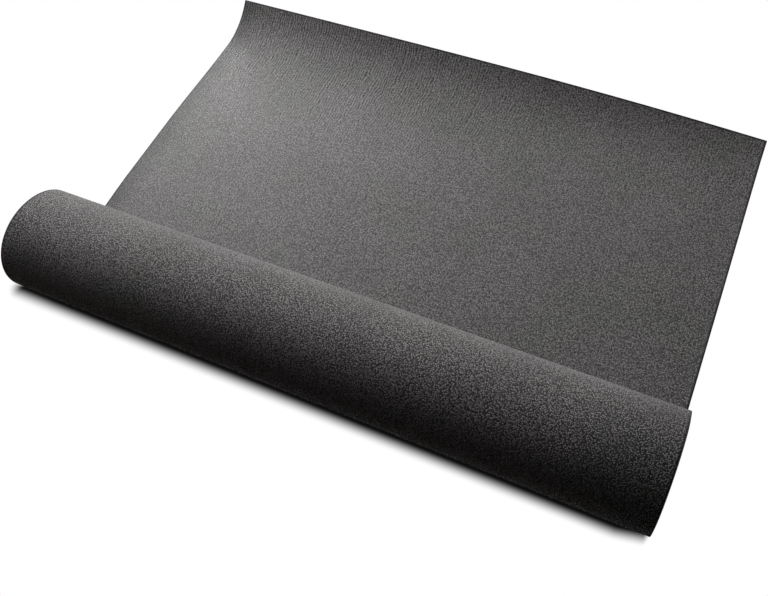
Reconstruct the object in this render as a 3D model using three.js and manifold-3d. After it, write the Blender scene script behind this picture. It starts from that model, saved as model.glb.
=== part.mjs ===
// A part-used roll of roofing felt.
//
// One strip of felt, a metre wide, is wound round an open eye with no core. Its last run leaves
// from under the roll, lies on the deck in a low wave, and ends in a cut edge that still curls up.
// The roll has slumped to an oval, so its turns lie closer together above and below the eye.
//
// Millimetres, +X along the roll, +Y along the laid run towards the cut edge, +Z up.
// The origin is at the bottom centre of the part's box.

import * as THREE from 'three';
import { mergeVertices } from 'three/addons/utils/BufferGeometryUtils.js';
import Module from 'manifold-3d';

const wasm = await Module();
wasm.setup();

// ---- Driving dimensions --------------------------------------------------------------------

// The felt
const feltWidth = 1000;
const feltThickness = 1.8;

// The wound turns
const eyeRadius = 25;
const turnCount = 22;
const turnSlack = 0.67; // mean air gap between two turns
const slumpShare = 0.33; // share of the slack by which the slump opens and closes the gap
const slumpLean = 15; // degrees that the oval's long axis dips towards the laid run
const edgeGapDepth = 6; // how far the gaps between turns run in from each end
const nipLength = 8; // how far the outermost gap runs in over the laid run

// The laid run, measured from below the middle of the roll
const stubLength = 30; // the start of the run, which is joined to the roll
const cutLengthLeft = 648; // to the cut edge, along the left side
const cutLengthRight = 634; // to the cut edge, along the right side
const waveStart = 60;
const crestStart = 200;
const crestEnd = 330;
const waveEnd = 530;
const waveHeightLeft = 4.9;
const waveHeightRight = 3.8;
const sideRunIn = 0.016; // how far the right side runs in, for each mm along
const sideRunInFrom = 256; // where the right side is square with the roll's end
const sideRampLength = 60; // how far it takes from the stub to that slant

// The curl at the cut edge
const curlRadius = 128; // to the felt's underside
const curlLengthLeft = 102;
const curlLengthRight = 51;
const curlFade = 4; // the curl keeps its length, then fades near the right corner

// Facets
const facetsPerTurn = 30;
const facetsAcross = 12;
const waveFacets = 10;
const curlFacets = 8;

// ---- The winding ---------------------------------------------------------------------------

const radians = THREE.MathUtils.degToRad;
const lerp = THREE.MathUtils.lerp;
const facetAngle = 360 / facetsPerTurn;

/** Distance from one turn to the next, in the direction given in degrees from +Y towards +Z. */
function turnPitch(direction) {
  const slump = slumpShare * Math.cos(2 * radians(direction + slumpLean));
  return feltThickness + turnSlack * (1 + slump);
}

/** A point of the section, in the plane across the roll, `turns` out from the eye. */
function woundPoint(direction, turns, depth) {
  const radius = eyeRadius + turns * turnPitch(direction) + depth;
  return new THREE.Vector2(radius * Math.cos(radians(direction)), radius * Math.sin(radians(direction)));
}

/** The felt leaves the roll where the outermost turn is lowest, near straight down. */
function findLeavingDirection() {
  const straightDown = 270;
  const searchedEachWay = 45;
  const searchStep = 0.5;
  const height = (direction) => woundPoint(direction, turnCount, feltThickness).y;
  let lowest = straightDown;
  for (let turned = -searchedEachWay; turned <= searchedEachWay; turned += searchStep) {
    if (height(straightDown + turned) < height(lowest)) lowest = straightDown + turned;
  }
  return lowest;
}

const leavingDirection = findLeavingDirection();
const leavingPoint = woundPoint(leavingDirection, turnCount, feltThickness);
const floorLevel = leavingPoint.y;
const nipPoint = new THREE.Vector2(leavingPoint.x, floorLevel + feltThickness);
const stubEnd = leavingPoint.x + stubLength;

/** A point on the winding after `step` facets from the felt's inner end, on its inner face (depth 0)
 *  or its outer face (depth feltThickness). */
function windingPoint(step, depth) {
  const direction = leavingDirection + (step - turnCount * facetsPerTurn) * facetAngle;
  return woundPoint(direction, step / facetsPerTurn, depth);
}

// ---- Solids --------------------------------------------------------------------------------

/** A three.js geometry as a solid that can be joined and cut. */
function toSolid(geometry) {
  const weldDistance = 1e-4;
  const bare = geometry.clone();
  bare.deleteAttribute('normal');
  bare.deleteAttribute('uv');
  const merged = mergeVertices(bare, weldDistance);
  return new wasm.Manifold(new wasm.Mesh({
    numProp: 3,
    vertProperties: new Float32Array(merged.attributes.position.array),
    triVerts: new Uint32Array(merged.index.array),
  }));
}

/** A joined and cut solid, back as a three.js geometry. */
function toGeometry(solid) {
  const mesh = solid.getMesh();
  const geometry = new THREE.BufferGeometry();
  geometry.setAttribute('position', new THREE.BufferAttribute(mesh.vertProperties, 3));
  geometry.setIndex(new THREE.BufferAttribute(mesh.triVerts, 1));
  geometry.computeVertexNormals();
  return geometry;
}

/** Extrudes a section of the roll along +X, from one place to another. */
function alongRoll(shape, from, to) {
  const geometry = new THREE.ExtrudeGeometry(shape, { depth: to - from, bevelEnabled: false });
  const sectionToRoll = new THREE.Matrix4().makeBasis(
    new THREE.Vector3(0, 1, 0),
    new THREE.Vector3(0, 0, 1),
    new THREE.Vector3(1, 0, 0),
  );
  return geometry.applyMatrix4(sectionToRoll).translate(from, 0, -floorLevel);
}

/** The wound turns with their eye and the stub of the laid run. */
function makeWoundTurns() {
  const outline = [];
  const lastTurn = (turnCount - 1) * facetsPerTurn;
  for (let step = 0; step <= facetsPerTurn; step += 1) {
    outline.push(windingPoint(lastTurn + step, feltThickness));
  }
  outline.push(new THREE.Vector2(stubEnd, floorLevel));
  outline.push(new THREE.Vector2(stubEnd, floorLevel + feltThickness));
  outline.push(nipPoint);

  const eye = [];
  for (let step = 0; step <= facetsPerTurn; step += 1) {
    eye.push(windingPoint(step, 0));
  }

  const section = new THREE.Shape(outline);
  section.holes.push(new THREE.Path(eye));
  return alongRoll(section, 0, feltWidth);
}

/** The spiral gap between the turns, from the eye out to the nip above the laid run. */
function makeTurnGap(from, to) {
  const below = [];
  const above = [];
  const gapSteps = (turnCount - 1) * facetsPerTurn;
  for (let step = 0; step <= gapSteps; step += 1) {
    below.push(windingPoint(step, feltThickness));
    above.push(windingPoint(step + facetsPerTurn, 0));
  }
  above[gapSteps] = nipPoint;

  const halfFacetEarly = -0.5;
  const gapInEye = windingPoint(halfFacetEarly, (feltThickness + turnPitch(leavingDirection)) / 2);
  const gapAtNip = nipPoint.clone().add(new THREE.Vector2(nipLength, turnSlack / 2));
  return alongRoll(new THREE.Shape([gapInEye, ...below, gapAtNip, ...above.reverse()]), from, to);
}

// ---- The laid run --------------------------------------------------------------------------

/** Goes smoothly from 0 to 1 between two places. */
function rise(from, to, at) {
  return THREE.MathUtils.smoothstep(at, from, to);
}

/** How high the felt lies at `along`, on a line `across` from the left side (0) to the right (1). */
function waveHeight(across, along) {
  const height = lerp(waveHeightLeft, waveHeightRight, across);
  return height * rise(waveStart, crestStart, along) * (1 - rise(crestEnd, waveEnd, along));
}

/** Where the rows of the laid run lie, from the stub to the cut edge. */
function rowPlaces(across) {
  const curlLength = lerp(curlLengthLeft, curlLengthRight, across ** curlFade);
  const cutLength = lerp(cutLengthLeft, cutLengthRight, across);
  const curlStart = cutLength - curlLength;
  const rows = [stubEnd - stubLength / 2, stubEnd];
  for (let row = 0; row <= waveFacets; row += 1) {
    rows.push(lerp(waveStart, waveEnd, row / waveFacets));
  }
  for (let row = 0; row <= curlFacets; row += 1) {
    rows.push(curlStart + curlLength * row / curlFacets);
  }
  return { rows, curlStart };
}

/** Moves a point of the flat strip to where the felt lies. */
function layPoint(across, row, level) {
  const { rows, curlStart } = rowPlaces(across);
  const along = rows[row];
  const sideShift = sideRunIn * (sideRunInFrom - along) * rise(stubEnd, stubEnd + sideRampLength, along);
  const x = feltWidth * across + sideShift * across;
  if (along <= curlStart) return [x, along, level + waveHeight(across, along)];
  const turn = (along - curlStart) / curlRadius;
  const radius = curlRadius - level;
  return [x, curlStart + radius * Math.sin(turn), curlRadius - radius * Math.cos(turn)];
}

/** The run of felt that lies on the deck, up to its curled cut edge. */
function makeLaidRun() {
  const rowCount = rowPlaces(0).rows.length - 1;
  const geometry = new THREE.BoxGeometry(1, rowCount, feltThickness, facetsAcross, rowCount, 1);
  geometry.translate(0.5, rowCount / 2, feltThickness / 2);
  const points = geometry.attributes.position;
  for (let i = 0; i < points.count; i += 1) {
    points.setXYZ(i, ...layPoint(points.getX(i), Math.round(points.getY(i)), points.getZ(i)));
  }
  return geometry;
}

// ---- The part ------------------------------------------------------------------------------

function makeRoofingFelt() {
  const overrun = 1;
  const gaps = [
    makeTurnGap(-overrun, edgeGapDepth),
    makeTurnGap(feltWidth - edgeGapDepth, feltWidth + overrun),
  ];
  let solid = toSolid(makeWoundTurns()).add(toSolid(makeLaidRun()));
  for (const gap of gaps) solid = solid.subtract(toSolid(gap));
  return toGeometry(solid);
}

const feltMaterial = new THREE.MeshStandardMaterial({ color: 0x6b6b6b, roughness: 0.92, metalness: 0 });
const roofingFelt = new THREE.Mesh(makeRoofingFelt(), feltMaterial);
roofingFelt.name = 'roofing_felt';

roofingFelt.geometry.computeBoundingBox();
const { min, max } = roofingFelt.geometry.boundingBox;
roofingFelt.position.set(-(min.x + max.x) / 2, -(min.y + max.y) / 2, -min.z);

const part = new THREE.Group();
part.add(roofingFelt);

export default part;
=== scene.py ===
import math

import bmesh
import bpy
from mathutils import Matrix, Vector, noise


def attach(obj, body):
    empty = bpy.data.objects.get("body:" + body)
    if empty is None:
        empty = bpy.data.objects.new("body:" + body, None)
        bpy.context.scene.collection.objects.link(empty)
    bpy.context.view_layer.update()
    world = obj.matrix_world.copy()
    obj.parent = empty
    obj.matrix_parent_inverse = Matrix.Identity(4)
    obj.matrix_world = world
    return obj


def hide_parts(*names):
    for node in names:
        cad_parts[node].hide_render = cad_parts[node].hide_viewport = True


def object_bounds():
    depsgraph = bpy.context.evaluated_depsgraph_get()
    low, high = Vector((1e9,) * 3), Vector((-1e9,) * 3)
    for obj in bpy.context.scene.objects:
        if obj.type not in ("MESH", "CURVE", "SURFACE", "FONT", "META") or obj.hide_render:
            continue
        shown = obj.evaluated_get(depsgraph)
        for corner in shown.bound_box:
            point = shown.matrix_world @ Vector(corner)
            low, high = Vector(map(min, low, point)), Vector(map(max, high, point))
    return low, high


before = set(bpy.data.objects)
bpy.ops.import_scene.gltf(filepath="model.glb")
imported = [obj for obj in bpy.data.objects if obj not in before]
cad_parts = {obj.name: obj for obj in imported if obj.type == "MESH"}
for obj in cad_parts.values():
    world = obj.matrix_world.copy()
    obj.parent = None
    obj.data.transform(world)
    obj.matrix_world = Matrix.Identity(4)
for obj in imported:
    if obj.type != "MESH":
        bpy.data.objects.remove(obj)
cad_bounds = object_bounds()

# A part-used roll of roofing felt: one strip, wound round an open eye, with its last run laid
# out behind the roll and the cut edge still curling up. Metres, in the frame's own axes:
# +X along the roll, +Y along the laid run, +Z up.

# ---- The felt's sizes ------------------------------------------------------------------------
# Where a size has two values, they are those on the left and on the right side.

FELT_WIDTH = 1.0
THICKNESS = 0.0018

# The wound turns
EYE_RADIUS = 0.025
TURN_COUNT = 22
TURN_SLACK = 0.00067  # mean air gap between two turns
SLUMP_SHARE = 0.33  # share of the slack by which the slump opens and closes the gap
SLUMP_LEAN = 15  # degrees that the oval's long axis dips towards the laid run

# The laid run, measured from below the middle of the roll
STUB_LENGTH = 0.030
CUT_LENGTH = (0.648, 0.634)
WAVE_START = 0.060
CREST_START = 0.200
CREST_END = 0.330
WAVE_END = 0.530
WAVE_HEIGHT = (0.0049, 0.0038)
SIDE_RUN_IN = 0.016  # how far the right side runs in, for each metre along
SIDE_RUN_IN_FROM = 0.256  # where the right side is square with the roll's end
SIDE_RAMP_LENGTH = 0.060  # how far it takes from the stub to that slant

# The curl at the cut edge
CURL_RADIUS = 0.128  # to the felt's underside
CURL_LENGTH = (0.102, 0.051)
CURL_FADE = 4  # the curl keeps its length, then fades near the right corner

LAID_LENGTH = max(CUT_LENGTH)

# What the solid leaves out: the turns don't lie quite evenly, and their edges don't lie flush.
TURN_UNEVEN = 0.00024
UNEVEN_PERIOD = 4.3  # turns
EDGE_WANDER = 0.0020
WANDER_PACE = 0.9  # steps through the noise for each turn
WANDER_PLACE = 7.0  # where in the noise the edges wander

# Its cut edges are softened.
EDGE_SOFTENING = 0.0004
SOFTENING_STEPS = 2
SOFTENED_FROM = 50  # degrees between two faces

# Rows and columns of the strip
ROWS_PER_TURN = 48
ROWS_IN_OUTER_TURN = 96
FOOT_ROWS = 6
WAVE_ROWS = 24
FLAT_ROWS = 2
CURL_ROWS = 18
EDGE_COLUMNS = (0.0, 0.0015, 0.004, 0.01, 0.025)
MIDDLE_COLUMNS = 16


def mix(pair, share):
    return pair[0] + (pair[1] - pair[0]) * share


def rise(start, end, at):
    """Goes smoothly from 0 to 1 between two places."""
    share = min(max((at - start) / (end - start), 0.0), 1.0)
    return share * share * (3 - 2 * share)


# ---- The winding -----------------------------------------------------------------------------

def turn_pitch(direction):
    """Distance from one turn to the next, in a direction in degrees from +Y towards +Z."""
    slump = SLUMP_SHARE * math.cos(2 * math.radians(direction + SLUMP_LEAN))
    return THICKNESS + TURN_SLACK * (1 + slump)


def wound_point(direction, turns, depth):
    """A point (y, z) round the middle of the eye, so many turns out, so deep in the felt."""
    radius = EYE_RADIUS + turns * turn_pitch(direction) + depth
    angle = math.radians(direction)
    return Vector((radius * math.cos(angle), radius * math.sin(angle)))


def leaving_direction():
    """The felt leaves the roll where its outermost turn is lowest, near straight down."""
    straight_down = 270
    searched_each_way = 45
    search_step = 0.5
    step_count = round(2 * searched_each_way / search_step)
    first = straight_down - searched_each_way
    tries = [first + search_step * step for step in range(step_count + 1)]
    return min(tries, key=lambda direction: wound_point(direction, TURN_COUNT, THICKNESS).y)


LEAVING = leaving_direction()
FLOOR_LEVEL = wound_point(LEAVING, TURN_COUNT, THICKNESS).y
LEAVING_Y = wound_point(LEAVING, TURN_COUNT, THICKNESS).x

# The solid's outermost turn has flat facets, and its foremost corner is the front of the box.
SOLID_FACETS = 30
FOREMOST = min(
    wound_point(LEAVING - 360 / SOLID_FACETS * step, TURN_COUNT - step / SOLID_FACETS, THICKNESS).x
    for step in range(SOLID_FACETS + 1)
)
ROLL_START = Vector((cad_bounds[0][0], cad_bounds[0][1] - FOREMOST, 0.0))


def wound_place(across, turns):
    """The middle of the felt's thickness, at a place on the winding."""
    direction = LEAVING + 360 * (turns - TURN_COUNT)
    settled = rise(0.0, 1.0, TURN_COUNT - turns)
    swell = math.sin(2 * math.pi * turns / UNEVEN_PERIOD + 2 * math.radians(direction))
    point = wound_point(direction, turns, THICKNESS / 2 + TURN_UNEVEN * settled * swell)
    drift = EDGE_WANDER * settled * noise.noise(Vector((WANDER_PACE * turns, 0.0, WANDER_PLACE)))
    return Vector((FELT_WIDTH * across + drift, point.x, point.y - FLOOR_LEVEL))


# ---- The laid run ----------------------------------------------------------------------------

def wave_height(across, along):
    climb = rise(WAVE_START, CREST_START, along) * (1 - rise(CREST_END, WAVE_END, along))
    return mix(WAVE_HEIGHT, across) * climb


def laid_place(across, along, curl_start):
    """The middle of the felt's thickness, at a place on the laid run."""
    level = THICKNESS / 2
    stub_end = LEAVING_Y + STUB_LENGTH
    ramp = rise(stub_end, stub_end + SIDE_RAMP_LENGTH, along)
    x = across * (FELT_WIDTH + SIDE_RUN_IN * (SIDE_RUN_IN_FROM - along) * ramp)
    if along <= curl_start:
        return Vector((x, along, level + wave_height(across, along)))
    turn = (along - curl_start) / CURL_RADIUS
    radius = CURL_RADIUS - level
    return Vector((x, curl_start + radius * math.sin(turn), CURL_RADIUS - radius * math.cos(turn)))


def laid_rows(across):
    """The places of the rows along the laid run, and where the curl starts."""
    curl_length = mix(CURL_LENGTH, across ** CURL_FADE)
    cut_length = mix(CUT_LENGTH, across)
    curl_start = cut_length - curl_length
    rows = [mix((LEAVING_Y, WAVE_START), row / FOOT_ROWS) for row in range(1, FOOT_ROWS)]
    rows += [mix((WAVE_START, WAVE_END), row / WAVE_ROWS) for row in range(WAVE_ROWS)]
    rows += [mix((WAVE_END, curl_start), row / FLAT_ROWS) for row in range(FLAT_ROWS)]
    rows += [curl_start + curl_length * row / CURL_ROWS for row in range(CURL_ROWS + 1)]
    return rows, curl_start


# ---- The strip of felt -----------------------------------------------------------------------

def wound_rows():
    """How many turns out each row of the winding lies, from the inner end to the leaving line."""
    inner = [row / ROWS_PER_TURN for row in range((TURN_COUNT - 1) * ROWS_PER_TURN)]
    outer = [TURN_COUNT - 1 + row / ROWS_IN_OUTER_TURN for row in range(ROWS_IN_OUTER_TURN + 1)]
    return inner + outer


def column_places():
    """Where the columns lie across the felt, close together at its sides."""
    between = (EDGE_COLUMNS[-1], 1 - EDGE_COLUMNS[-1])
    middle = [mix(between, step / MIDDLE_COLUMNS) for step in range(1, MIDDLE_COLUMNS)]
    return list(EDGE_COLUMNS) + middle + [1 - place for place in reversed(EDGE_COLUMNS)]


def strip_places(across):
    """The places of all rows on one line along the whole strip."""
    places = [wound_place(across, turns) for turns in wound_rows()]
    rows, curl_start = laid_rows(across)
    places += [laid_place(across, along, curl_start) for along in rows]
    return [ROLL_START + place for place in places]


def run_lengths(places):
    """The length along the strip at each row."""
    lengths = [0.0]
    for before, after in zip(places, places[1:]):
        lengths.append(lengths[-1] + (after - before).length)
    return lengths


def add_object(name, data):
    added = bpy.data.objects.new(name, data)
    bpy.context.collection.objects.link(added)
    return added


def add_mesh(name, mesh):
    """Puts a finished bmesh in the scene as an object."""
    data = bpy.data.meshes.new(name)
    mesh.to_mesh(data)
    mesh.free()
    return add_object(name, data)


def make_strip():
    """The whole strip: a flat grid, wound and laid. Its UV map keeps, in metres, how far each place
    is from the left side and back from the cut edge."""
    columns = column_places()
    lines = [strip_places(across) for across in columns]
    lengths = [run_lengths(line) for line in lines]
    column_count, row_count = len(columns) - 1, len(lines[0]) - 1

    mesh = bmesh.new()
    bmesh.ops.create_grid(mesh, x_segments=column_count, y_segments=row_count, size=0.5)
    strip_map = mesh.loops.layers.uv.new("strip")
    for face in mesh.faces:
        face.smooth = True
        for loop in face.loops:
            column = round((loop.vert.co.x + 0.5) * column_count)
            row = round((loop.vert.co.y + 0.5) * row_count)
            back = lengths[column][-1] - lengths[column][row]
            loop[strip_map].uv = (columns[column] * FELT_WIDTH, back)
    for vert in mesh.verts:
        column = round((vert.co.x + 0.5) * column_count)
        row = round((vert.co.y + 0.5) * row_count)
        vert.co = lines[column][row]
    return add_mesh("felt_strip", mesh)


# The strip's materials, in the order of its slots. The grid's own face is the talced one.
FINISHES = ("talced_face", "sanded_face", "cut_edge")


def thicken(strip):
    """Gives the strip its thickness and softens its cut edges."""
    body = strip.modifiers.new("thickness", "SOLIDIFY")
    body.thickness = THICKNESS
    body.offset = 0.0
    body.use_even_offset = True
    body.material_offset = FINISHES.index("sanded_face")
    body.material_offset_rim = FINISHES.index("cut_edge")
    edges = strip.modifiers.new("cut_edges", "BEVEL")
    edges.width = EDGE_SOFTENING
    edges.segments = SOFTENING_STEPS
    edges.limit_method = "ANGLE"
    edges.angle_limit = math.radians(SOFTENED_FROM)


# ---- Node helpers ----------------------------------------------------------------------------

VECTOR = "NodeSocketVector"
NUMBER = "NodeSocketFloat"

# Sockets of a Mix node that mixes colours
MIX_INPUTS = (0, 6, 7)
MIX_OUTPUT = 2

# The span of a share, a mask or a noise, and the same span falling
RISING = (0.0, 1.0)
FALLING = (1.0, 0.0)


def add_node(tree, kind, **settings):
    node = tree.nodes.new(kind)
    for name, value in settings.items():
        setattr(node, name, value)
    return node


def feed(socket, value):
    """Links another node's output to an input, or sets it to a number, a vector or a colour."""
    if isinstance(value, bpy.types.NodeSocket):
        socket.id_data.links.new(value, socket)
    elif socket.type == "RGBA":
        socket.default_value = (*value, 1.0)
    else:
        socket.default_value = value


def set_inputs(node, **values):
    """Feeds a node's inputs by name, with _ for a space."""
    for name, value in values.items():
        feed(node.inputs[name.replace("_", " ")], value)
    return node


def calculate(tree, operation, *operands):
    """A Math node's value."""
    node = add_node(tree, "ShaderNodeMath", operation=operation)
    for socket, value in zip(node.inputs, operands):
        feed(socket, value)
    return node.outputs[0]


def plus(tree, first, second):
    return calculate(tree, "ADD", first, second)


def times(tree, first, second):
    return calculate(tree, "MULTIPLY", first, second)


def remap(tree, value, span, target, curve="LINEAR"):
    """Maps a value from one span to another, and holds it within that."""
    node = add_node(tree, "ShaderNodeMapRange", clamp=True, interpolation_type=curve)
    set_inputs(node, Value=value, From_Min=span[0], From_Max=span[1])
    set_inputs(node, To_Min=target[0], To_Max=target[1])
    return node.outputs["Result"]


def split(tree, value, kind="XYZ"):
    """The parts of a vector, or with the kind Color those of a colour."""
    node = add_node(tree, "ShaderNodeSeparate" + kind)
    feed(node.inputs[0], value)
    return node.outputs


def add_noise(tree, place, **values):
    """A Noise Texture's value at a place."""
    node = add_node(tree, "ShaderNodeTexNoise")
    return set_inputs(node, Vector=place, **values).outputs["Fac"]


def blend_colours(tree, share, first, second, mode="MIX"):
    node = add_node(tree, "ShaderNodeMix", data_type="RGBA", blend_type=mode)
    for number, value in zip(MIX_INPUTS, (share, first, second)):
        feed(node.inputs[number], value)
    return node.outputs[MIX_OUTPUT]


def add_bump(tree, height, strength, distance):
    """A Bump node's normal."""
    node = add_node(tree, "ShaderNodeBump")
    set_inputs(node, Height=height, Strength=strength, Distance=distance)
    return node.outputs["Normal"]


def start_group(name, inputs, outputs):
    """A shader node group with named sockets: the group, what it is given and what it puts out."""
    group = bpy.data.node_groups.new(name, "ShaderNodeTree")
    for socket_name, kind in inputs:
        group.interface.new_socket(name=socket_name, in_out="INPUT", socket_type=kind)
    for socket_name, kind in outputs:
        group.interface.new_socket(name=socket_name, in_out="OUTPUT", socket_type=kind)
    given = group.nodes.new("NodeGroupInput").outputs
    result = group.nodes.new("NodeGroupOutput").inputs
    return group, given, result


def place_group(tree, group, place, **values):
    """Places a node group in a material, and gives its outputs."""
    node = add_node(tree, "ShaderNodeGroup", node_tree=group)
    return set_inputs(node, Place=place, **values).outputs


def start_material(name):
    material = bpy.data.materials.new(name)
    material.use_nodes = True
    return material, material.node_tree


def strip_coordinates(tree):
    return add_node(tree, "ShaderNodeUVMap", uv_map="strip").outputs["UV"]


def object_coordinates(tree):
    return add_node(tree, "ShaderNodeTexCoord").outputs["Object"]


# ---- Effects ---------------------------------------------------------------------------------

def make_grit_group():
    """Sand and talc pressed into bitumen: a tone from grain to grain, and the grains' height."""
    group, given, result = start_group(
        "grit",
        [("Place", VECTOR), ("Grain Size", NUMBER)],
        [("Tone", NUMBER), ("Height", NUMBER)],
    )
    dome_reach = (0.0, 0.75)  # from a grain's middle to its foot, in grain sizes
    lump_size = 1.4  # in grain sizes
    lump_span = (0.28, 0.72)
    pale_span = (0.45, 0.65)  # each grain has a number from 0 to 1: dark below this, pale above
    foot_tone, dome_tone = 0.4, 0.7
    dome_share = 0.5

    density = calculate(group, "DIVIDE", 1.0, given["Grain Size"])
    grains = add_node(group, "ShaderNodeTexVoronoi", voronoi_dimensions="3D", feature="F1")
    set_inputs(grains, Vector=given["Place"], Scale=density)
    each = split(group, grains.outputs["Color"], "Color")
    dome = remap(group, grains.outputs["Distance"], dome_reach, FALLING)
    fineness = calculate(group, "DIVIDE", density, lump_size)
    lumps = add_noise(group, given["Place"], Scale=fineness, Detail=2.0, Roughness=0.6)
    lump = remap(group, lumps, lump_span, RISING)
    pale = remap(group, each[0], pale_span, RISING)
    own_tone = plus(group, times(group, dome, dome_tone), foot_tone)
    feed(result["Tone"], times(group, pale, own_tone))
    standing = times(group, times(group, dome, each[1]), dome_share)
    feed(result["Height"], plus(group, standing, times(group, lump, 1 - dome_share)))
    return group


def make_pebble_group():
    """Coarser grains that stand out of the coating, some of them paler than others."""
    group, given, result = start_group(
        "pebbles",
        [("Place", VECTOR), ("Spacing", NUMBER)],
        [("Bead", NUMBER)],
    )
    bead_reach = (0.1, 0.5)  # from a grain's flat top to its foot, in spacings
    pale_span = (0.0, 0.7)  # each grain has a number from 0 to 1, which sets its tone
    tones = (0.1, 1.0)

    density = calculate(group, "DIVIDE", 1.0, given["Spacing"])
    beads = add_node(group, "ShaderNodeTexVoronoi", voronoi_dimensions="2D", feature="F1")
    set_inputs(beads, Vector=given["Place"], Scale=density, Randomness=1.0)
    each = split(group, beads.outputs["Color"], "Color")
    standing = remap(group, beads.outputs["Distance"], bead_reach, FALLING)
    pale = remap(group, each[0], pale_span, tones)
    feed(result["Bead"], times(group, standing, pale))
    return group


def make_mottle_group():
    """Broad unevenness of the coating: a lightness near 1, and a share of pink against olive. Each
    has its own start in its noise."""
    group, given, result = start_group(
        "mottle",
        [("Place", VECTOR), ("Light Start", VECTOR), ("Tint Start", VECTOR), ("Depth", NUMBER)],
        [("Lightness", NUMBER), ("Warmth", NUMBER)],
    )
    noise_middle = 0.5
    tint_span = (0.35, 0.65)

    def started(name):
        shift = add_node(group, "ShaderNodeVectorMath", operation="ADD")
        feed(shift.inputs[0], given["Place"])
        feed(shift.inputs[1], given[name])
        return shift.outputs[0]

    broad = add_noise(group, started("Light Start"), Scale=9.0, Detail=3.0, Roughness=0.55)
    tint = add_noise(group, started("Tint Start"), Scale=7.0, Detail=1.0)
    centred = calculate(group, "SUBTRACT", broad, noise_middle)
    feed(result["Lightness"], plus(group, 1.0, times(group, centred, given["Depth"])))
    feed(result["Warmth"], remap(group, tint, tint_span, RISING))
    return group


def make_rib_group():
    """Fine ribs along the strip, left by the rollers that press the coating on. They are clearest on
    the left half and towards the cut edge."""
    group, given, result = start_group(
        "roller_lines",
        [("Place", VECTOR), ("Spacing", NUMBER), ("Length", NUMBER)],
        [("Line", NUMBER)],
    )
    drift_width, drift_depth = 4.0, 2.5  # of the ribs' wandering, in spacings
    line_middle = 0.5
    edge_zone, edge_depth = (0.12, 0.28), (0.7, 0.0)  # the zone in metres back from the cut edge
    patch_span, patch_depth = (0.35, 0.65), (0.1, 0.4)
    left_zone, left_share = (0.3, 0.65), (1.0, 0.3)  # the zone in metres from the left side

    at = split(group, given["Place"])
    width = times(group, given["Spacing"], drift_width)
    drawn_out = add_node(group, "ShaderNodeCombineXYZ")
    set_inputs(drawn_out, X=calculate(group, "DIVIDE", at["X"], width))
    set_inputs(drawn_out, Y=calculate(group, "DIVIDE", at["Y"], given["Length"]))
    drift = add_noise(group, drawn_out.outputs[0], Scale=1.0, Detail=1.0)
    straight = calculate(group, "DIVIDE", at["X"], given["Spacing"])
    ribs = plus(group, straight, times(group, drift, drift_depth))
    wave = calculate(group, "SINE", times(group, ribs, 2 * math.pi))
    patches = add_noise(group, given["Place"], Scale=8.0, Detail=1.0)
    towards_edge = remap(group, at["Y"], edge_zone, edge_depth)
    uneven = remap(group, patches, patch_span, patch_depth)
    on_left = remap(group, at["X"], left_zone, left_share)
    depth = times(group, plus(group, towards_edge, uneven), on_left)
    feed(result["Line"], plus(group, times(group, wave, depth), line_middle))
    return group


def make_margin_group():
    """A darker margin along the two long sides and the cut edge of the strip."""
    group, given, result = start_group(
        "darker_margin",
        [("Place", VECTOR), ("Margin", NUMBER)],
        [("Darkened", NUMBER)],
    )
    narrowest = 0.5  # share of the margin
    soft_border = (0.6, 1.4)  # in margins from the side

    at = split(group, given["Place"])
    from_right = calculate(group, "SUBTRACT", FELT_WIDTH, at["X"])
    from_side = calculate(group, "MINIMUM", at["X"], from_right)
    from_edge = calculate(group, "MINIMUM", from_side, at["Y"])
    ragged = add_noise(group, given["Place"], Scale=90.0, Detail=2.0)
    margin = times(group, given["Margin"], plus(group, ragged, narrowest))
    share = calculate(group, "DIVIDE", from_edge, margin)
    feed(result["Darkened"], remap(group, share, soft_border, FALLING))
    return group


def make_side_shade_group():
    """Painted shade that darkens the face towards its left and right sides: 1 where there is none."""
    group, given, result = start_group(
        "painted_side_shade",
        [("Place", VECTOR), ("Reach", NUMBER), ("Left Loss", NUMBER), ("Right Loss", NUMBER)],
        [("Unshaded", NUMBER)],
    )
    from_left = split(group, given["Place"])["X"]
    from_right = calculate(group, "SUBTRACT", FELT_WIDTH, from_left)
    brightness_factor = 1.0
    for from_side, shade_socket in ((from_left, "Left Loss"), (from_right, "Right Loss")):
        share = calculate(group, "DIVIDE", from_side, given["Reach"])
        near_side = remap(group, share, RISING, FALLING, curve="SMOOTHSTEP")
        brightness_factor = calculate(group, "SUBTRACT", brightness_factor, times(group, near_side, given[shade_socket]))
    feed(result["Unshaded"], brightness_factor)
    return group


# ---- Finishes --------------------------------------------------------------------------------

# Both faces. The two tints are what the mottle's share of pink goes between.
GRAIN_SIZE = 0.0011
GRAIN_RELIEF = 0.4  # share of the relief of the pebbles and ribs
RIB_LENGTH = 0.03
MARGIN_WIDTH = 0.0028
SHEEN_ROUGHNESS = 0.5
BITUMEN = (0.003, 0.003, 0.003)
MARGIN_COLOUR = (0.012, 0.012, 0.013)
OLIVE_TINT = (1.015, 1.0, 0.97)
PINK_TINT = (1.077, 1.0, 1.025)

# The cut edge. Each pair of colours goes from dark grains to pale ones.
EDGE_ROUGHNESS = 0.7
EDGE_RELIEF = 0.0002
EDGE_BUMP_STRENGTH = 0.6
BARE_EDGE = ((0.01, 0.01, 0.01), (0.05, 0.05, 0.048))
DUSTY_EDGE = ((0.05, 0.05, 0.05), (0.26, 0.26, 0.255))
DUST_FADE = 0.2  # length over which the dust sets in, behind the laid run
DUST_SPAN = (0.4, 0.6)
DUST_SHARE = (0.35, 1.0)


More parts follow.
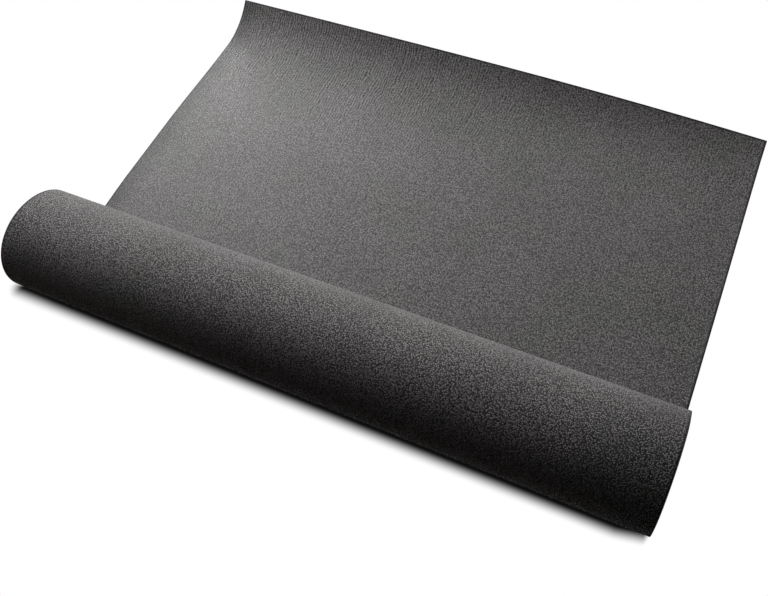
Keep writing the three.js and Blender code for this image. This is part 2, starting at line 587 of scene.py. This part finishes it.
def make_felt_face(name, groups, light, pebbles, pebble_gap, lines, line_gap, mottle_depth,
                   mottle_starts, reach, side_shades, relief, roughness, specular, sheen):
    """One face of the felt: grit in bitumen, pebbling, roller lines, a mottled coat, a dark side margin
    and painted side shade.
    """
    material, tree = start_material(name)
    place = strip_coordinates(tree)
    grit = place_group(tree, groups["grit"], place, Grain_Size=GRAIN_SIZE)
    pebble = place_group(tree, groups["pebbles"], place, Spacing=pebble_gap)
    mottle = place_group(tree, groups["mottle"], place, Depth=mottle_depth,
                         Light_Start=mottle_starts[0], Tint_Start=mottle_starts[1])
    ribs = place_group(tree, groups["ribs"], place, Spacing=line_gap, Length=RIB_LENGTH)
    side = place_group(tree, groups["side"], place, Margin=MARGIN_WIDTH)
    # Painted shade towards the left and right side of the felt
    side_shade = place_group(tree, groups["side_shade"], place, Reach=reach,
                       Left_Loss=side_shades[0], Right_Loss=side_shades[1])

    beaded = times(tree, pebble["Bead"], pebbles)
    lined = times(tree, ribs["Line"], lines)
    pressed = plus(tree, beaded, lined)
    loose = times(tree, grit["Tone"], 1 - pebbles - lines)
    colour = blend_colours(tree, plus(tree, loose, pressed), BITUMEN, light)
    tint = blend_colours(tree, mottle["Warmth"], OLIVE_TINT, PINK_TINT)
    colour = blend_colours(tree, 1.0, colour, tint, "MULTIPLY")
    # The mottle's lightness, times the share that the painted side shade leaves
    brightness_factor = times(tree, mottle["Lightness"], side_shade["Unshaded"])
    lightness = add_node(tree, "ShaderNodeCombineColor")
    for socket in lightness.inputs:
        feed(socket, brightness_factor)
    colour = blend_colours(tree, 1.0, colour, lightness.outputs[0], "MULTIPLY")
    colour = blend_colours(tree, side["Darkened"], colour, MARGIN_COLOUR)

    height = plus(tree, times(tree, grit["Height"], GRAIN_RELIEF), pressed)
    normal = add_bump(tree, height, strength=1.0, distance=relief)
    set_inputs(tree.nodes["Principled BSDF"], Base_Color=colour, Normal=normal, Roughness=roughness,
               Specular_IOR_Level=specular, Sheen_Weight=sheen, Sheen_Roughness=SHEEN_ROUGHNESS)
    return material


def make_cut_edge(groups):
    """The cut edge: near-black bitumen, with talc dust on stretches of it in the wound turns."""
    material, tree = start_material("cut_edge")
    grit = place_group(tree, groups["grit"], object_coordinates(tree), Grain_Size=GRAIN_SIZE)
    place = strip_coordinates(tree)
    stretches = add_noise(tree, place, Scale=9.0, Detail=1.0)
    back = split(tree, place)["Y"]
    wound = remap(tree, back, (LAID_LENGTH, LAID_LENGTH + DUST_FADE), RISING)
    dust = times(tree, wound, remap(tree, stretches, DUST_SPAN, DUST_SHARE))
    bare = blend_colours(tree, grit["Tone"], *BARE_EDGE)
    dusty = blend_colours(tree, grit["Tone"], *DUSTY_EDGE)
    colour = blend_colours(tree, dust, bare, dusty)
    normal = add_bump(tree, grit["Height"], EDGE_BUMP_STRENGTH, EDGE_RELIEF)
    set_inputs(tree.nodes["Principled BSDF"], Base_Color=colour, Normal=normal, Roughness=EDGE_ROUGHNESS)
    return material


def make_felt():
    strip = make_strip()
    groups = {
        "grit": make_grit_group(),
        "pebbles": make_pebble_group(),
        "mottle": make_mottle_group(),
        "ribs": make_rib_group(),
        "side": make_margin_group(),
        "side_shade": make_side_shade_group(),
    }
    sanded = make_felt_face(
        "sanded_face", groups, light=(0.74, 0.725, 0.737),
        pebbles=0.75, pebble_gap=0.0024, lines=0.08, line_gap=0.004,
        mottle_depth=0.6, mottle_starts=((2.36, 8.6, 0.0), (5.41, 1.98, 0.0)),
        # How far the painted side shade reaches, and how dark it is at the left and right side
        reach=0.14, side_shades=(0.0, 0.3),
        relief=0.0015, roughness=0.8, specular=0.08, sheen=0.2,
    )
    talced = make_felt_face(
        "talced_face", groups, light=(0.48, 0.48, 0.48),
        pebbles=0.5, pebble_gap=0.0030, lines=0.18, line_gap=0.0050,
        mottle_depth=0.32, mottle_starts=((15.86, 17.45, 0.0), (2.88, 22.38, 0.0)),
        # How far the painted side shade reaches, and how dark it is at the left and right side
        reach=0.05, side_shades=(0.4, 0.0),
        relief=0.0006, roughness=0.5, specular=0.3, sheen=0.0,
    )
    finishes = {material.name: material for material in (sanded, talced, make_cut_edge(groups))}
    for name in FINISHES:
        strip.data.materials.append(finishes[name])
    thicken(strip)
    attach(strip, "root")
    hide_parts("roofing_felt")


# ---- Floor and backdrop ----------------------------------------------------------------------

FLOOR_REACH = 30.0  # each way
FLOOR_DROP = 0.0002  # how far the floor lies below the felt, so that the two don't meet
FLOOR_BOUNCE = (0.088, 0.06, 0.042)  # what the floor gives back of the lamps' light

# Painted shade on the floor where the felt stands close over it: how close it stands, as seen from the
# floor up and towards the back
CLOSENESS_REACH = 0.045
CLOSENESS_SAMPLES = 16
CLOSENESS_LEAN = (0.0, 0.64, 0.77)
CLOSENESS_SPAN = (0.1, 0.5)
CLOSENESS_LIGHT = (0.3, 1.0)

# The roll's shadow. A floor that shines white shows no lamp's shadow, so this one is drawn: an area
# round the foot of the roll, fixed to the floor, with a border that grows lighter outwards.
SHADOW_LEFT = -0.5
SHADOW_RIGHT = 0.494
SHADOW_FRONT = -0.341
SHADOW_BACK = -0.21
BORDER_WIDTH = (0.026, 0.021)  # at the roll's left and right end
BORDER_SHARPENED = 2.2  # how many times narrower the border is past the right end
LEFT_TIP = -0.538  # how far the front left corner sticks out
LEFT_TIP_LENGTH = 0.03  # how far back from the front border it does
RIGHT_TIP_START = 0.46  # from where the front border draws in, up to the right border
RIGHT_TIP_DRAWN_IN = 0.006
DARKEST = 0.006

# Heights on the backdrop, as the sine of the angle above the horizon: it is white up to the first,
# and dark from the second.
BACKDROP_FADE = (0.22, 0.4)
WHITE = (1.0, 1.0, 1.0)


def light_past_roll(tree):
    """The share of the floor's white that the roll's shadow leaves."""
    at = split(tree, object_coordinates(tree))
    left_tip = (SHADOW_FRONT, SHADOW_FRONT + LEFT_TIP_LENGTH)
    left = remap(tree, at["Y"], left_tip, (LEFT_TIP, SHADOW_LEFT))
    past_left = calculate(tree, "SUBTRACT", left, at["X"])
    past_right = calculate(tree, "SUBTRACT", at["X"], SHADOW_RIGHT)
    past_right = times(tree, past_right, BORDER_SHARPENED)
    right_tip = (RIGHT_TIP_START, SHADOW_RIGHT)
    drawn_in = remap(tree, at["X"], right_tip, (0.0, RIGHT_TIP_DRAWN_IN))
    past_front = calculate(tree, "SUBTRACT", plus(tree, drawn_in, SHADOW_FRONT), at["Y"])
    past_back = calculate(tree, "SUBTRACT", at["Y"], SHADOW_BACK)
    across = calculate(tree, "MAXIMUM", calculate(tree, "MAXIMUM", past_left, past_right), 0.0)
    along = calculate(tree, "MAXIMUM", calculate(tree, "MAXIMUM", past_front, past_back), 0.0)
    outward = set_inputs(add_node(tree, "ShaderNodeCombineXYZ"), X=across, Y=along)
    distance = add_node(tree, "ShaderNodeVectorMath", operation="LENGTH")
    feed(distance.inputs[0], outward.outputs[0])
    border = remap(tree, at["X"], (-FELT_WIDTH / 2, FELT_WIDTH / 2), BORDER_WIDTH)
    share = calculate(tree, "DIVIDE", distance.outputs["Value"], border)
    return remap(tree, share, RISING, (DARKEST, 1.0), curve="SMOOTHSTEP")


def seen_or_mirrored(tree):
    """1 where the background is seen, directly or in a gloss or through glass, and 0 where it lights."""
    path = add_node(tree, "ShaderNodeLightPath").outputs
    indirect = calculate(tree, "MAXIMUM", path["Is Glossy Ray"], path["Is Transmission Ray"])
    return calculate(tree, "MAXIMUM", path["Is Camera Ray"], indirect)


def make_floor():
    """A floor that looks white, with painted shade where the felt stands close over it and the roll's
    painted shadow. To the lamps' light it is dark and warm."""
    mesh = bmesh.new()
    bmesh.ops.create_grid(mesh, x_segments=1, y_segments=1, size=FLOOR_REACH)
    bmesh.ops.translate(mesh, verts=mesh.verts, vec=(0.0, 0.0, -FLOOR_DROP))
    floor = add_mesh("floor", mesh)

    material, tree = start_material("floor")
    tree.nodes.clear()
    matt = set_inputs(add_node(tree, "ShaderNodeBsdfDiffuse"), Color=FLOOR_BOUNCE)
    lean = add_node(tree, "ShaderNodeCombineXYZ")
    for socket, value in zip(lean.inputs, CLOSENESS_LEAN):
        feed(socket, value)
    closeness = add_node(tree, "ShaderNodeAmbientOcclusion", samples=CLOSENESS_SAMPLES)
    set_inputs(closeness, Distance=CLOSENESS_REACH, Normal=lean.outputs[0])
    closeness_shade = remap(tree, closeness.outputs["AO"], CLOSENESS_SPAN, CLOSENESS_LIGHT, curve="SMOOTHSTEP")
    # The floor's white, darkened by the painted closeness shade and the roll's drawn shadow
    white = add_node(tree, "ShaderNodeEmission")
    set_inputs(white, Strength=times(tree, closeness_shade, light_past_roll(tree)))
    surface = add_node(tree, "ShaderNodeMixShader")
    blended = (seen_or_mirrored(tree), matt.outputs[0], white.outputs[0])
    for socket, value in zip(surface.inputs, blended):
        feed(socket, value)
    set_inputs(add_node(tree, "ShaderNodeOutputMaterial"), Surface=surface.outputs[0])
    floor.data.materials.append(material)


def make_world():
    """A white backdrop all round and a dark ceiling, which are seen and mirrored but give no light."""
    world = bpy.data.worlds.new("studio")
    bpy.context.scene.world = world
    world.use_nodes = True
    tree = world.node_tree
    direction = split(tree, add_node(tree, "ShaderNodeTexCoord").outputs["Generated"])
    backdrop = remap(tree, direction["Z"], BACKDROP_FADE, FALLING)
    level = times(tree, seen_or_mirrored(tree), backdrop)
    set_inputs(tree.nodes["Background"], Color=WHITE, Strength=level)


# ---- Light and camera ------------------------------------------------------------------------

LAMP_SIZE = 0.8
MIDDLE = (0.0, 0.0, 0.0)
SENSOR_WIDTH = 36.0  # millimetres, as the lens is


def make_lamp(name, place, power, aim=MIDDLE, size=LAMP_SIZE):
    """A square soft lamp at a place, turned to aim at a point."""
    data = bpy.data.lights.new(name, "AREA")
    data.shape = "SQUARE"
    data.size = size
    data.energy = power
    lamp = add_object(name, data)
    lamp.location = place
    lamp.rotation_euler = (Vector(aim) - Vector(place)).to_track_quat("-Z", "Y").to_euler()


def make_camera(place, aim, roll, lens):
    data = bpy.data.cameras.new("camera")
    data.sensor_width = SENSOR_WIDTH
    data.lens = lens
    camera = add_object("camera", data)
    look = (Vector(aim) - Vector(place)).to_track_quat("-Z", "Y").to_matrix().to_4x4()
    turn = Matrix.Rotation(math.radians(roll), 4, "Z")
    camera.matrix_world = Matrix.Translation(place) @ look @ turn
    bpy.context.scene.camera = camera


make_felt()
make_floor()
make_world()
make_lamp("back_left", place=(-1.8, 2.4, 0.5), power=51.9)
make_lamp("high_left", place=(-1.8, 1.4, 1.2), power=20.4)
make_lamp("left", place=(-1.8, 0.6, 0.8), power=13.5)
make_lamp("above_roll", place=(-0.9, 0.2, 1.2), power=5.1)
make_lamp("high_back", place=(0.0, 1.0, 1.2), power=4.6)
make_lamp("low_right", place=(1.8, 0.2, 0.22), power=7.0, aim=(0.0, 0.0, 0.1), size=0.4)
make_camera(place=(0.4301, -0.7045, 1.1091), aim=(0.0313, -0.1392, 0.0), roll=-11.74, lens=39.5)
bpy.context.scene.view_settings.view_transform = "Standard"
